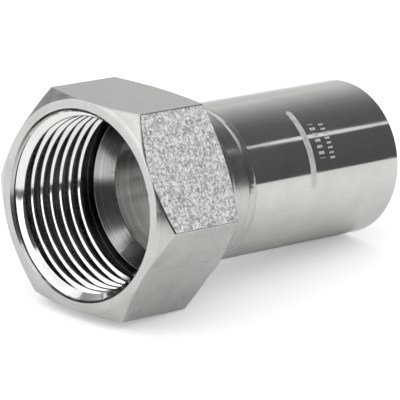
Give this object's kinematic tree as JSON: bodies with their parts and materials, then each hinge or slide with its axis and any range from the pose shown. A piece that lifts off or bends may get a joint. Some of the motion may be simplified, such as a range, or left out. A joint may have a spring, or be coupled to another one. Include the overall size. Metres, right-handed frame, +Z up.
{
  "type": "threaded spigot adapter",
  "caption": "Stainless pipe adapter: a hexagonal socket with an internal pipe thread, ring-welded to a plain tube that plugs into a press or push fitting.",
  "frame": {"origin": "on the surface that the part lies on, below the middle of its bounding box", "axes": "+Z up; +X level, from the socket's mouth towards the tube's free end; +Y level, to the left of that. The part's own axis lies in the XZ plane and slopes 5.11 degrees down towards +X, because the hexagon's rear edge and the tube's end touch the surface"},
  "size_m": [0.0702, 0.0424, 0.0382],
  "materials": {
    "socket_steel": "stainless steel, machined and pickled, with one grainy flat",
    "weld_metal": "stainless weld bead, bright and finely rippled",
    "tube_steel": "stainless tube, polished, with faint lines along it"
  },
  "bodies": {
    "root": {"hex_socket": "socket_steel", "weld_seam": "weld_metal", "spigot_tube": "tube_steel"}
  },
  "joints": []
}
